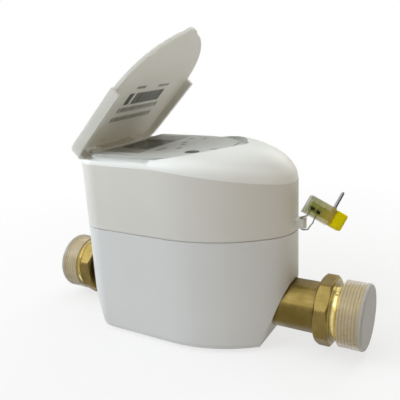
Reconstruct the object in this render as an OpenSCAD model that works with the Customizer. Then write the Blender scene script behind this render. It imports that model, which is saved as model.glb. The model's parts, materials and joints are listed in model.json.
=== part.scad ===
// Household ultrasonic water meter: brass flow tube through a white two-part housing with a flip lid.
// X runs along the pipe, Z is up, the flat underside of the housing stands on z = 0. Sizes in mm.

/* [Pipe] */
// distance between the two thread faces
meter_len = 165; // [150:1:190]
// height of the pipe axis above the underside
axis_h = 18; // [16.5:0.5:24]
// tube across flats
tube_af = 22.6; // [20:0.2:24]
// rounding cylinder over the corners of the tube
tube_round_d = 23.8; // [21:0.2:26]
// wrench ring across flats
ring_af = 30.4; // [28:0.2:34]
// rounding cylinder over the corners of the wrench ring
ring_round_d = 32.5; // [29:0.1:36]
// width of the wrench ring along the pipe
ring_w = 6.6; // [5:0.2:9]
// bevel on both faces of the wrench ring
ring_bevel = 1.5; // [0.5:0.1:2]
// from the thread face back to the wrench ring
ring_setback = 12.8; // [10:0.2:15]
// outside diameter of the pipe thread
thread_d = 26.44; // [20.95:0.01:33.25]
// length of the pipe thread
thread_len = 10.6; // [8:0.2:13]
// diameter of the neck between ring and thread
neck_d = 23.4; // [20:0.2:26]
// through bore of the tube
bore_d = 15; // [13:0.5:16]
// wider mouth of the bore at both ends
mouth_d = 19; // [16.5:0.5:20]
// depth of the wider mouth
mouth_len = 9; // [4:0.5:12]

/* [Sound path] */
// distance from the middle to each transducer
transducer_x = 22; // [18:0.5:26]
// outside diameter of the transducer towers on the tube
tower_d = 21; // [20:0.5:24]
// height of the transducer towers above the pipe axis
tower_h = 21; // [19:0.5:24]
// bore of the towers
tower_bore_d = 14; // [12:0.5:15]
// seat of the transducer flange
flange_seat_d = 17.8; // [16:0.2:18.4]
// depth of the transducer flange seat
flange_seat_h = 3; // [2:0.5:4]
// distance from the middle to the outer clamp pillars
pillar_x = 38; // [35:0.5:41]
// diameter of the clamp pillars
pillar_d = 8; // [7:0.5:9]
// thickness of the clamp bar
clamp_t = 1.5; // [1:0.1:2]
// narrowest bore of the measuring insert
throat_d = 9.5; // [8:0.5:11]
// length of the measuring insert
insert_len = 78; // [70:1:90]
// diameter of the sound mirrors
mirror_d = 8; // [6:0.5:8]
// diameter of the plug on top of the transducers
plug_d = 8; // [6:0.5:9]
// section of the transducer seals
ring_section = 1.6; // [1.4:0.1:1.8]
// from the transducer flange down to the foot of the seal groove
groove_drop = 5; // [4:0.5:6]

/* [Housing] */
// half of the housing length
half_len = 50.75; // [48:0.25:54]
// half of the housing width
half_w = 32.3; // [30:0.1:36]
// corner radius in plan at the hinge end
hinge_corner_r = 14; // [10:0.5:20]
// nose radius in plan at the seal end
nose_r = 18; // [14:0.5:22]
// wall of the housing
wall = 2.4; // [2:0.1:3]
// thickness of the underside
floor_t = 4; // [3.5:0.1:5]
// height of the seam between the two housings
seam_z = 54.4; // [50:0.2:58]
// depth of the reveal along the seam
reveal = 0.5; // [0.2:0.1:0.8]
// width of the thickened rim at the seam
rim_w = 4.6; // [4:0.1:6]
// height of the thickened rim on each side of the seam
rim_h = 4; // [3:0.5:6]
// half length of the flat underside
base_half = 38.5; // [34:0.5:44]
// height at which the sloping ends meet the upright ends
slope_z = 33; // [28:0.5:38]
// depth of the soft edge round the underside
base_soft = 3.2; // [0:0.1:3.6]
// width of the gasket between the housings
gasket_w = 1.4; // [1:0.1:1.8]
// depth of the gasket groove
gasket_h = 1.5; // [1:0.1:2]
// gap between fixed pieces that fit into each other
fit_gap = 0.1; // [0.05:0.05:0.3]
// gap between pieces that move past each other
move_gap = 0.35; // [0.3:0.05:0.6]

/* [Crown] */
// height of the crown edge
edge_z = 85.1; // [82:0.1:88]
// how far the crown edge drops towards the seal end
edge_drop = 8.3; // [4:0.1:12]
// place along the pipe where the crown edge starts to drop
drop_from = -4; // [-10:0.5:10]
// height of the crown rim round the lid
rim_z = 93; // [92:0.1:94]
// size of the flat top against the plan
top_share = 0.6; // [0.4:0.02:0.8]
// place along the pipe towards which the crown narrows
top_x = -10; // [-20:1:0]
// fullness of the crown, lower is fuller
crown_power = 0.48; // [0.4:0.02:1]
// height of the recessed top under the lid
deck_z = 89.2; // [88.6:0.1:89.5]
// thickness of the roof
roof_t = 2.6; // [2:0.1:3.2]
// inset of the top behind the lid skirt
ledge_in = 4.1; // [3.5:0.1:5]
// height of the ledge under the lid skirt
ledge_z = 87.5; // [86.8:0.1:88]
// place along the pipe where the lid ledge ends
ledge_end = -5.7; // [-12:0.1:0]

/* [Lid] */
// opening angle of the lid as drawn
lid_open = 45; // [0:1:90]
// hinge axis from the hinge end of the housing
hinge_in = 3.25; // [3:0.05:4.5]
// hinge axis height
hinge_z = 88; // [88:0.1:88.6]
// height of the closed lid above the hinge axis
lid_rise = 5; // [4.9:0.1:5.8]
// thickness of the lid plate
lid_t = 1.8; // [1.4:0.1:1.9]
// how far the lid skirts stand back from the housing sides
lid_in = 0.6; // [0.4:0.1:1.2]
// corner radius of the lid at the hinge
lid_corner_r = 8; // [6:0.5:14]
// thickness of the lid skirt
skirt_t = 1.85; // [1.4:0.05:2]
// overhang of the lid behind the hinge
lid_tail = 2.5; // [2.3:0.1:2.6]
// radius of the leaf-shaped front of the lid
leaf_r = 38.5; // [36:0.5:42]
// how far the leaf stands back from the housing sides where the skirt ends
leaf_in = 2.1; // [1.8:0.1:4]
// place along the pipe where the leaf is widest
leaf_x = -11; // [-12:0.5:-8]
// radius of the finger tab
tab_r = 6.4; // [4:0.1:8]
// centre of the finger tab along the pipe
tab_x = 21; // [18:0.2:22]
// outside radius of the hinge knuckles
knuckle_r = 2.3; // [2:0.1:2.6]
// diameter of the hinge pin
pin_d = 2.2; // [1.6:0.1:2.6]
// running gap of the hinge pin in the lid, on the radius
pin_gap = 0.05; // [0.02:0.01:0.1]
// inner side of the housing lugs from the middle
lug_in = 13.8; // [10:0.1:16]
// width of each housing lug
lug_w = 6.3; // [4:0.1:8]
// from the hinge axis to the wall beside the electronics
hinge_wall_run = 8.9; // [8.5:0.1:9.4]

/* [Display] */
// thickness of the faceplate
plate_t = 1; // [0.6:0.1:1.2]
// from the hinge axis to the start of the faceplate
plate_run = 9.1; // [8.8:0.1:10.5]
// inset of the faceplate inside the lid outline
plate_in = 1.2; // [0.8:0.1:3]
// from the hinge axis to the middle of the display
lcd_run = 20.1; // [19.5:0.1:20.6]
// display opening along the pipe
lcd_open_x = 17.8; // [14:0.2:18.2]
// display opening from the housing sides
lcd_in = 20.3; // [19.5:0.1:22]
// display glass margin round the opening
lcd_margin = 1.3; // [0.8:0.1:1.4]
// thickness of the display module
lcd_t = 2.8; // [2:0.1:3]
// optical window along the pipe
eye_x = 5.5; // [2:0.5:7]
// optical window across the pipe
eye_y = -12; // [-13:0.5:8]
// diameter of the optical window
eye_d = 7; // [5:0.5:9]

/* [Electronics] */
// underside of the circuit board
board_z = 78.4; // [77.8:0.1:78.8]
// thickness of the circuit board
board_t = 1.6; // [1:0.2:1.8]
// circuit board edges from the housing sides
board_in = 12.8; // [12.7:0.1:14]
// gap between the circuit board and the wall under the hinge
board_gap = 1; // [0.8:0.1:2]
// room round the narrow part of the circuit board
tongue_room = 2; // [1.5:0.1:2.5]
// far end of the wide part of the circuit board
board_x1 = 21; // [19:0.5:21.4]
// far end of the narrow part of the circuit board
board_x2 = 29; // [26:0.5:31]
// half width of the narrow part of the circuit board
board_tongue = 12; // [8:0.5:14]
// board screws from the edges of the circuit board
stand_in = 2.5; // [2.4:0.1:3]
// diameter of the board stand-offs
stand_d = 4.6; // [4:0.1:4.8]
// diameter of the battery cell
cell_d = 18.5; // [14:0.5:18.5]
// length of the battery cell
cell_len = 50; // [45:0.5:50]
// middle of the battery cell along the pipe
cell_x = -3.5; // [-4:0.5:-3]
// battery axis from the housing side
cell_in = 20.3; // [20.1:0.1:20.5]
// room beside the battery from the housing side
room_in = 8.3; // [8:0.1:8.8]
// battery axis height
cell_z = 66.2; // [65.5:0.1:67]
// wall of the battery cradle
cradle_t = 1.4; // [1:0.1:1.6]
// length of the battery cradle
cradle_len = 40; // [30:1:42]
// diameter of the transducer leads
lead_d = 1.6; // [1:0.1:2]
// gap between the transducer leads and the battery cradle
lead_gap = 0.45; // [0.3:0.05:0.6]
// length, width and height of the largest chip
chip_size = [14, 8, 1.6];
// middle of the largest chip
chip_at = [-1, -10];
// length, width and height of the optical head
head_size = [8, 6, 3];

/* [Fasteners] */
// housing screw places along the pipe, hinge end
post_x0 = -33; // [-34:0.5:-31]
// housing screw places along the pipe, seal end
post_x1 = 26; // [24:0.5:27]
// housing screws from the housing sides, hinge end
post_in0 = 8.3; // [7.7:0.1:8.5]
// housing screws from the housing sides, seal end
post_in1 = 12.8; // [12.3:0.1:12.9]
// diameter of the screw posts
post_d = 8; // [7:0.5:8]
// height of the housing screw heads
post_seat = 40; // [34:1:46]
// diameter of the housing screws
post_screw_d = 3; // [2.5:0.5:3.5]
// length of the housing screws under the head
post_screw_len = 19; // [16:1:22]
// base screws from the middle along the pipe
base_screw_x = 30; // [27:0.5:31]
// diameter of the base screws
base_screw_d = 3.5; // [3:0.1:4]
// diameter of the base screw heads
base_head_d = 6.6; // [6:0.1:7]
// height of the base screw heads
base_head_h = 2.2; // [1.8:0.1:2.6]
// depth of the base screws in the tube
base_grip = 2.4; // [2:0.1:2.8]
// wall round the base screw heads
base_boss = 1.5; // [1.2:0.1:2]
// half width of the flange of the base cover
cover_half = 15.6; // [14:0.1:16]
// thickness of the flange of the base cover
cover_t = 2; // [1.6:0.1:2.4]
// diameter of the clamp screws
clamp_screw_d = 3; // [2.5:0.1:3.5]
// depth of the clamp screws in the pillars
clamp_grip = 6; // [5:0.5:8]
// diameter of the clamp screw heads
clamp_head_d = 5.5; // [5:0.1:6.5]
// height of the clamp screw heads
clamp_head_h = 2.2; // [1.8:0.1:3]
// diameter of the board screws
board_screw_d = 2; // [1.6:0.1:2.2]
// diameter of the board screw heads
board_head_d = 3.8; // [3.4:0.1:4.2]
// height of the board screw heads
board_head_h = 1.5; // [1:0.1:2]
// depth of the board screws in the stand-offs
board_grip = 4; // [3:0.5:4.5]
// room round the screws in the pieces that they hold
screw_gap = 0.4; // [0.3:0.1:0.6]

/* [Caps and seal] */
// outside diameter of the thread caps
cap_d = 30; // [28.5:0.1:36]
// end wall of the thread caps
cap_end = 1.6; // [1:0.1:2.5]
// length of the thread caps
cap_len = 11; // [9:0.5:14]
// edge radius of the thread caps
cap_soft = 1.2; // [0.5:0.1:1.6]
// how far the centre of the seal eyelet stands out from the nose
eyelet_out = 2.25; // [1.9:0.05:3.6]
// underside of the seal eyelet above the seam
eyelet_up = 1.8; // [1:0.1:3.6]
// thickness of the seal eyelet
eyelet_t = 4.2; // [3:0.1:5]
// outside diameter of the seal eyelet
eyelet_d = 5; // [4.6:0.1:7]
// hole in the seal eyelet
eyelet_hole = 1.8; // [1.7:0.1:2.4]
// diameter of the seal wire
wire_d = 0.6; // [0.4:0.1:0.8]
// length of the clear seal body
seal_len = 12.2; // [10:0.2:15]
// height of the clear seal body
seal_h = 8.2; // [7:0.1:10]
// thickness of the clear seal body
seal_t = 6.4; // [5:0.1:8]
// centre of the clear seal body from the top of the eyelet
seal_off = [7.4, 2.2, 3.8];
// turn of the seal about its own length, its dip and its bearing
seal_turn = [-20, 31, 20];
// length of the yellow head of the seal rotor
rotor_head = 6; // [4:0.2:8]
// diameter of the seal rotor
rotor_d = 4.4; // [3:0.1:5]
// length of the grey key of the seal
key_len = 13; // [10:0.5:16]
// thickness of the grey key of the seal
key_t = 1.4; // [1:0.1:2]
// width of the grey key of the seal
key_w = 3.4; // [2.6:0.1:4]
// places along the seal body where the wire goes in
wire_in = [-3.3, 0.1];

/* [Hidden] */
$fn = 64;
// a little extra length for clean cuts
cut = 1;
// how far the arcs of the plan stand proud of the flats that they run into
proud = 0.03;
half_pipe = meter_len / 2;
ring_x1 = half_pipe - ring_setback;
ring_x0 = ring_x1 - ring_w;
ring_face_d = ring_round_d - 2 * ring_bevel;
ring_wide_d = ring_round_d + ring_bevel;
tower_top = axis_h + tower_h;
tube_bottom = axis_h - tube_af / 2;
clamp_top = tower_top + clamp_t;
clamp_end = pillar_x + pillar_d / 2;
clamp_half = flange_seat_d / 2 + 0.6;
clamp_hole = clamp_grip + cut;
insert_d = bore_d - 2 * fit_gap;
insert_wide_d = insert_d - 1;
// plan: flat sides, round corners at the hinge end, a nose of three arcs at the seal end
nose_cx = half_len - nose_r;
side_r = (pow(nose_cx, 2) + pow(half_w, 2) - pow(nose_r, 2)) / (2 * (half_w - nose_r));
side_cy = side_r - half_w;
nose_turn = atan2(side_cy, nose_cx);
corner_x = -half_len + hinge_corner_r;
corner_y = half_w - hinge_corner_r;
slope_run = half_len - base_half;
slope_wall = wall * sqrt(pow(slope_run, 2) + pow(slope_z, 2)) / slope_z;
slot_half = tube_af / 2 + 0.3;
post_y0 = half_w - post_in0;
post_y1 = half_w - post_in1;
post_places = [[post_x0, post_y0], [post_x0, -post_y0], [post_x1, post_y1], [post_x1, -post_y1]];
post_head_d = post_screw_d * 1.9;
post_head_h = post_screw_d * 0.8;
base_hole = base_grip + 0.6;
base_sink = 0.6;
groove_in = (rim_w - gasket_w) / 2 + 0.4;
hinge_x = -half_len + hinge_in;
deck_low = deck_z - roof_t;
hollow_z = edge_z - edge_drop - wall;
ceiling_hinge = edge_z - roof_t;
hinge_clear = hinge_z - edge_z;
hinge_wall_x = hinge_x + hinge_wall_run;
lid_half_w = half_w - lid_in;
leaf_half_w = half_w - leaf_in;
leaf_cy = leaf_r - leaf_half_w;
lid_z1 = hinge_z + lid_rise;
lid_z0 = lid_z1 - lid_t;
skirt_z0 = ledge_z + 0.3;
skirt_end = ledge_end - 0.3;
lid_back = hinge_x - lid_tail;
lug_out = lug_in + lug_w;
barrel_half = lug_in - move_gap;
cap_x1 = half_pipe + 0.3 + cap_end;
cap_x0 = cap_x1 - cap_len;
cap_in_d = thread_d + 2 * move_gap;
plate_x0 = hinge_x + plate_run;
lcd_x = hinge_x + lcd_run;
lcd_open_y = 2 * (half_w - lcd_in);
lcd_z1 = deck_low - fit_gap;
lcd_z0 = lcd_z1 - lcd_t;
board_top = board_z + board_t;
board_half_w = half_w - board_in;
board_x0 = hinge_wall_x + board_gap;
stand_x = [board_x0 + stand_in, board_x1 - stand_in];
stand_y = board_half_w - stand_in;
cell_y = half_w - cell_in;
cradle_r = cell_d / 2 + fit_gap + cradle_t;
cradle_x0 = cell_x - cradle_len / 2;
room_y = half_w - room_in;
room_x1 = cradle_x0 + cradle_len + 0.8;
lead_y = cell_y - cradle_r - lead_gap - lead_d / 2;
stem_d = tower_bore_d - 2 * fit_gap;
groove_z = tower_top - flange_seat_h - groove_drop;
groove_h = ring_section + 0.6;
eyelet_x = half_len + eyelet_out;
eyelet_z = seam_z + eyelet_up;
eyelet_top = eyelet_z + eyelet_t;
seal_at = [eyelet_x, 0, eyelet_top] + seal_off;
key_x = seal_len / 2 + 0.8;
key_low = -0.4;
// seal wire: out of the body, down through the eyelet, round its underside and back up into the body
function about_x(v, a) = [v[0], v[1] * cos(a) - v[2] * sin(a), v[1] * sin(a) + v[2] * cos(a)];
function about_y(v, a) = [v[0] * cos(a) + v[2] * sin(a), v[1], v[2] * cos(a) - v[0] * sin(a)];
function about_z(v, a) = [v[0] * cos(a) - v[1] * sin(a), v[0] * sin(a) + v[1] * cos(a), v[2]];
function on_seal(v) = seal_at + about_z(about_y(about_x(v, seal_turn[0]), seal_turn[1]), seal_turn[2]);
wire_end = -seal_h / 2 + 1.4;
wire_mouth = -seal_h / 2 - 0.6;
wire_low = wire_d / 2 + 0.5;
rim_r = eyelet_d / 2 + wire_d / 2 + 0.3;
wire_path = [
  on_seal([wire_in[0], 0, wire_end]),
  on_seal([wire_in[0], 0, wire_mouth]),
  [eyelet_x + 2.2, -0.6, eyelet_top + wire_low + 0.6],
  [eyelet_x + 0.9, -0.2, eyelet_top + wire_low],
  [eyelet_x, 0, eyelet_top],
  [eyelet_x, 0, eyelet_z - wire_low],
  [eyelet_x + 1, 0, eyelet_z - wire_low - 0.4],
  [eyelet_x + rim_r, 0.1, eyelet_z - wire_low],
  [eyelet_x + rim_r + 1, 0.15, eyelet_z + 0.9],
  [eyelet_x + rim_r + 2.3, 0.2, eyelet_z + 2.6],
  on_seal([wire_in[1], 0, wire_mouth]),
  on_seal([wire_in[1], 0, wire_end])];

// rounded octagonal bar along the pipe
module octagon_bar(af, round_d, x0, x1) {
  intersection() {
    translate([x0, 0, axis_h])
      rotate([0, 90, 0])
        rotate([0, 0, 22.5])
          cylinder(d = af / cos(22.5), h = x1 - x0, $fn = 8);
    translate([x0, 0, axis_h])
      rotate([0, 90, 0])
        cylinder(d = round_d, h = x1 - x0);
  }
}

// round bar along the pipe
module pipe_bar(d, x0, x1) {
  translate([x0, 0, axis_h])
    rotate([0, 90, 0])
      cylinder(d = d, h = x1 - x0);
}

// cone along the pipe
module pipe_cone(d0, d1, x0, x1) {
  translate([x0, 0, axis_h])
    rotate([0, 90, 0])
      cylinder(d1 = d0, d2 = d1, h = x1 - x0);
}

// box from corner to corner
module box(a, b) {
  translate(a)
    cube([b[0] - a[0], b[1] - a[1], b[2] - a[2]]);
}

// upright round post
module post(x, y, d, z0, z1) {
  translate([x, y, z0])
    cylinder(d = d, h = z1 - z0);
}

// housing plan set in by a distance, between two heights
module plan(inset, z0, z1) {
  corner = hinge_corner_r - inset + proud;
  seam_x = nose_cx + (nose_r - inset) * cos(nose_turn);
  translate([0, 0, z0]) {
    translate([-half_len + inset, -corner_y, 0])
      cube([half_len - inset, 2 * corner_y, z1 - z0]);
    translate([corner_x, -half_w + inset, 0])
      cube([-corner_x, 2 * (half_w - inset), z1 - z0]);
    for (s = [-1, 1])
      translate([corner_x, s * corner_y, 0])
        cylinder(r = corner, h = z1 - z0);
    intersection() {
      translate([0, -side_cy, 0])
        cylinder(r = side_r - inset + proud, h = z1 - z0, $fn = 160);
      translate([0, side_cy, 0])
        cylinder(r = side_r - inset + proud, h = z1 - z0, $fn = 160);
      translate([-nose_r / 2, -half_w - cut, 0])
        cube([seam_x + nose_r / 2, 2 * half_w + 2 * cut, z1 - z0]);
    }
    translate([nose_cx, 0, 0])
      cylinder(r = nose_r - inset + 2 * proud, h = z1 - z0);
  }
}

// side view of the lower housing with its two sloping ends
module side_view(inset, half_y) {
  run = inset * slope_wall / wall;
  top = seam_z + cut;
  low = base_half - run;
  high = half_len - run;
  translate([0, half_y, 0])
    rotate([90, 0, 0])
      linear_extrude(2 * half_y)
        polygon([[-low, 0], [low, 0], [high, slope_z], [high + 2 * cut + run, slope_z],
          [high + 2 * cut + run, top], [-high - 2 * cut - run, top], [-high - 2 * cut - run, slope_z],
          [-high, slope_z]]);
}

// outline of the plan as points, half of it and then mirrored
function nose_points(n) = [for (k = [0 : n - 1])
  let (a = nose_turn * k / n) [nose_cx + nose_r * cos(a), nose_r * sin(a)]];
function side_points(n) = [for (k = [0 : n - 1])
  let (a = nose_turn + (90 - nose_turn) * k / n) [side_r * cos(a), side_r * sin(a) - side_cy]];
function flat_points(n) = [for (k = [0 : n - 1]) [corner_x * k / n, half_w]];
function corner_points(n) = [for (k = [0 : n - 1])
  let (a = 90 + 90 * k / n) [corner_x + hinge_corner_r * cos(a), corner_y + hinge_corner_r * sin(a)]];
function end_points(n) = [for (k = [0 : n - 1]) [-half_len, corner_y * (1 - k / n)]];
function half_outline() = concat(nose_points(8), side_points(12), flat_points(8), corner_points(8),
  end_points(4));
function mirrored(h) = [for (k = [len(h) - 1 : -1 : 1]) [h[k][0], -h[k][1]]];
function outline() = concat(half_outline(), [[-half_len, 0]], mirrored(half_outline()));
function drop_share(x) = max(0, (x - drop_from) / (half_len - drop_from));
function crown_edge(x) = edge_z - edge_drop * pow(drop_share(x), 1.35);
function crown_rise(k) = k <= 0 ? 6 * k : pow(sin(90 * k), crown_power);
function crown_point(p, k) = let (
    q = [top_x + top_share * (p[0] - top_x), top_share * p[1]],
    e = crown_edge(p[0]))
  [p[0] + k * (q[0] - p[0]), p[1] + k * (q[1] - p[1]), e + (rim_z - e) * crown_rise(k)];

// everything under the domed crown surface
module under_crown() {
  steps = [-0.12, -0.01, 0.02, 0.06, 0.13, 0.24, 0.38, 0.56, 0.77, 1];
  ring = outline();
  n = len(ring);
  m = len(steps);
  wide = [for (p = ring) let (w = crown_point(p, steps[0])) [w[0], w[1], seam_z - 2 * cut]];
  rows = concat(wide, [for (k = steps) for (p = ring) crown_point(p, k)]);
  sides = [for (r = [0 : m - 1]) for (i = [0 : n - 1]) let (j = (i + 1) % n)
    [r * n + i, (r + 1) * n + i, (r + 1) * n + j, r * n + j]];
  thirds = [for (f = sides) each [[f[0], f[1], f[2]], [f[0], f[2], f[3]]]];
  under = [[for (i = [0 : n - 1]) i]];
  over = [[for (i = [n - 1 : -1 : 0]) m * n + i]];
  polyhedron(rows, concat(thirds, under, over), convexity = 6);
}

// leaf-shaped outline of the lid front, set in by a distance, from a start along the pipe
module leaf(inset, x0, z0, z1) {
  box([x0, -leaf_half_w + inset, z0], [leaf_x, leaf_half_w - inset, z1]);
  intersection() {
    translate([leaf_x, leaf_cy, z0])
      cylinder(r = leaf_r - inset, h = z1 - z0, $fn = 128);
    translate([leaf_x, -leaf_cy, z0])
      cylinder(r = leaf_r - inset, h = z1 - z0, $fn = 128);
    box([leaf_x - cut, -half_w, z0], [half_len, half_w, z1]);
  }
  post(tab_x, 0, 2 * (tab_r - inset), z0, z1);
}

module flow_tube() {
  color([0.72, 0.58, 0.28])
    difference() {
      union() {
        octagon_bar(tube_af, tube_round_d, -ring_x0 - cut, ring_x0 + cut);
        for (turn = [0, 180])
          rotate([0, 0, turn]) {
            intersection() {
              octagon_bar(ring_af, ring_round_d, ring_x0, ring_x1);
              union() {
                pipe_cone(ring_face_d, ring_wide_d, ring_x0, ring_x0 + ring_bevel);
                pipe_bar(ring_wide_d, ring_x0 + ring_bevel, ring_x1 - ring_bevel);
                pipe_cone(ring_wide_d, ring_face_d, ring_x1 - ring_bevel, ring_x1);
              }
            }
            pipe_bar(neck_d, ring_x1 - cut, half_pipe - thread_len + cut);
            pipe_bar(thread_d, half_pipe - thread_len, half_pipe - cut);
            pipe_cone(thread_d, thread_d - 2 * cut, half_pipe - cut, half_pipe);
            post(transducer_x, 0, tower_d, axis_h, tower_top);
            post(pillar_x, 0, pillar_d, axis_h, tower_top);
          }
        post(0, 0, pillar_d, axis_h, tower_top);
      }
      pipe_bar(bore_d, -half_pipe - cut, half_pipe + cut);
      for (turn = [0, 180])
        rotate([0, 0, turn]) {
          pipe_bar(mouth_d, half_pipe - mouth_len, half_pipe + cut);
          post(transducer_x, 0, tower_bore_d, axis_h, tower_top + cut);
          post(transducer_x, 0, flange_seat_d, tower_top - flange_seat_h, tower_top + cut);
          post(pillar_x, 0, clamp_screw_d, tower_top - clamp_hole, tower_top + cut);
          post(base_screw_x, 0, base_screw_d, tube_bottom - cut, tube_bottom + base_hole);
        }
      post(0, 0, clamp_screw_d, tower_top - clamp_hole, tower_top + cut);
    }
}

module measuring_insert() {
  taper = 6;
  half = insert_len / 2;
  flat = transducer_x - mirror_d / 2 - 2;
  color([0.12, 0.12, 0.13])
    difference() {
      pipe_bar(insert_d, -half, half);
      pipe_bar(throat_d, -half - cut, half + cut);
      for (turn = [0, 180])
        rotate([0, 0, turn]) {
          pipe_bar(insert_wide_d, flat, half + cut);
          pipe_cone(throat_d, insert_wide_d, flat - taper, flat);
          post(transducer_x, 0, tower_bore_d - 2.4, axis_h, axis_h + bore_d);
          post(transducer_x, 0, mirror_d + 2 * fit_gap, axis_h - bore_d, axis_h);
        }
    }
}

// stainless mirror at 45 degrees under a transducer, facing the middle
module mirror_block(s) {
  lean = mirror_d * 2;
  color([0.75, 0.76, 0.77])
    difference() {
      intersection() {
        post(s * transducer_x, 0, mirror_d, axis_h - bore_d, axis_h + mirror_d / 2);
        pipe_bar(insert_d, -half_len, half_len);
      }
      translate([s * transducer_x, 0, axis_h])
        rotate([0, -s * 45, 0])
          translate([-lean, -lean, 0])
            cube([2 * lean, 2 * lean, 2 * lean]);
    }
}

module inlet_mirror() {
  mirror_block(-1);
}

module outlet_mirror() {
  mirror_block(1);
}

// transducer with a flange, a seal groove and a short plug on top
module transducer(s) {
  groove_d = stem_d - 2 * ring_section - 2 * fit_gap;
  z0 = axis_h + insert_d / 2;
  color([0.2, 0.2, 0.22])
    translate([s * transducer_x, 0, 0])
      difference() {
        union() {
          post(0, 0, stem_d, z0, tower_top - flange_seat_h);
          post(0, 0, flange_seat_d - 2 * fit_gap, tower_top - flange_seat_h, tower_top);
          post(0, 0, plug_d, tower_top, clamp_top + cut);
        }
        difference() {
          post(0, 0, stem_d + cut, groove_z, groove_z + groove_h);
          post(0, 0, groove_d, groove_z - cut, groove_z + groove_h + cut);
        }
      }
}

module inlet_transducer() {
  transducer(-1);
}

module outlet_transducer() {
  transducer(1);
}

module transducer_o_rings() {
  color([0.05, 0.05, 0.05])
    for (s = [-1, 1])
      translate([s * transducer_x, 0, groove_z + groove_h / 2])
        rotate_extrude()
          translate([stem_d / 2 - ring_section / 2 - fit_gap / 2, 0])
            circle(d = ring_section, $fn = 24);
}

module transducer_clamp() {
  color([0.7, 0.71, 0.72])
    difference() {
      union() {
        box([-clamp_end, -pillar_d / 2, tower_top], [clamp_end, pillar_d / 2, clamp_top]);
        for (s = [-1, 1])
          post(s * transducer_x, 0, 2 * clamp_half, tower_top, clamp_top);
      }
      for (turn = [0, 180])
        rotate([0, 0, turn]) {
          post(transducer_x, 0, plug_d + cut, tower_top - cut, clamp_top + cut);
          post(pillar_x, 0, clamp_screw_d + screw_gap, tower_top - cut, clamp_top + cut);
        }
      post(0, 0, clamp_screw_d + screw_gap, tower_top - cut, clamp_top + cut);
    }
}

module clamp_screws() {
  color([0.68, 0.69, 0.7])
    for (x = [-pillar_x, 0, pillar_x])
      difference() {
        union() {
          post(x, 0, clamp_screw_d, tower_top - clamp_grip, clamp_top + clamp_head_h / 2);
          post(x, 0, clamp_head_d, clamp_top, clamp_top + clamp_head_h);
        }
        translate([x, 0, clamp_top + clamp_head_h / 2])
          cylinder(d = clamp_head_d / 2, h = clamp_head_h, $fn = 6);
      }
}

module lower_housing() {
  color([0.9, 0.91, 0.91])
    difference() {
      union() {
        difference() {
          union() {
            intersection() {
              plan(0, base_soft + 0.6, seam_z - reveal);
              side_view(0, half_w + cut);
            }
            intersection() {
              soft_base();
              side_view(0, half_w + cut);
            }
            plan(reveal, seam_z - reveal, seam_z);
          }
          intersection() {
            plan(wall, floor_t, seam_z - rim_h);
            side_view(wall, half_w);
          }
          plan(rim_w, seam_z - rim_h - cut, seam_z + cut);
        }
        for (p = post_places)
          post(p[0], p[1], post_d, floor_t - cut, seam_z);
      }
      difference() {
        plan(groove_in, seam_z - gasket_h, seam_z + cut);
        plan(groove_in + gasket_w, seam_z - gasket_h - cut, seam_z + 2 * cut);
      }
      for (p = post_places) {
        post(p[0], p[1], post_head_d + 1.5 * screw_gap, -cut, post_seat);
        post(p[0], p[1], post_screw_d + screw_gap, 0, seam_z + cut);
      }
      octagon_bar(tube_af + 2 * fit_gap, tube_round_d + 2 * fit_gap, -half_len - cut, half_len + cut);
      box([-half_len - cut, -slot_half, -cut], [half_len + cut, slot_half, axis_h]);
      box([-half_len - cut, -cover_half - fit_gap, -cut],
        [half_len + cut, cover_half + fit_gap, cover_t + fit_gap]);
    }
}

// soft edge round the underside in two steps
module soft_base() {
  thin = 0.01;
  hull() {
    plan(base_soft, 0, thin);
    plan(base_soft * 0.3, base_soft * 0.45, base_soft * 0.45 + thin);
  }
  hull() {
    plan(base_soft * 0.3, base_soft * 0.45, base_soft * 0.45 + thin);
    plan(0, base_soft + 0.6, base_soft + 0.6 + thin);
  }
}

module base_cover() {
  tongue = slot_half - fit_gap;
  seat = tube_bottom - fit_gap;
  color([0.86, 0.87, 0.88])
    difference() {
      union() {
        intersection() {
          side_view(0, cover_half);
          box([-base_half - cut, -cover_half, 0], [base_half + cut, cover_half, cover_t]);
        }
        intersection() {
          side_view(0, tongue);
          difference() {
            box([-half_len, -tongue, 0], [half_len, tongue, axis_h]);
            intersection() {
              side_view(wall, half_w);
              box([-half_len, -half_w, cover_t], [half_len, half_w, axis_h + cut]);
            }
          }
        }
        for (s = [-1, 1])
          post(s * base_screw_x, 0, base_head_d + 2 * base_boss, 0, seat);
      }
      octagon_bar(tube_af + 2 * fit_gap, tube_round_d + 2 * fit_gap, -half_len - cut, half_len + cut);
      for (s = [-1, 1]) {
        post(s * base_screw_x, 0, base_screw_d + screw_gap, -cut, axis_h);
        post(s * base_screw_x, 0, base_head_d + screw_gap, -cut, base_sink + base_head_h);
      }
    }
}

module base_screws() {
  color([0.68, 0.69, 0.7])
    for (s = [-1, 1])
      difference() {
        union() {
          post(s * base_screw_x, 0, base_head_d, base_sink, base_sink + base_head_h);
          post(s * base_screw_x, 0, base_screw_d, base_head_h, tube_bottom + base_grip);
        }
        translate([s * base_screw_x, 0, 0])
          cylinder(d = base_head_d / 2, h = base_sink + base_head_h / 2, $fn = 6);
      }
}

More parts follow.
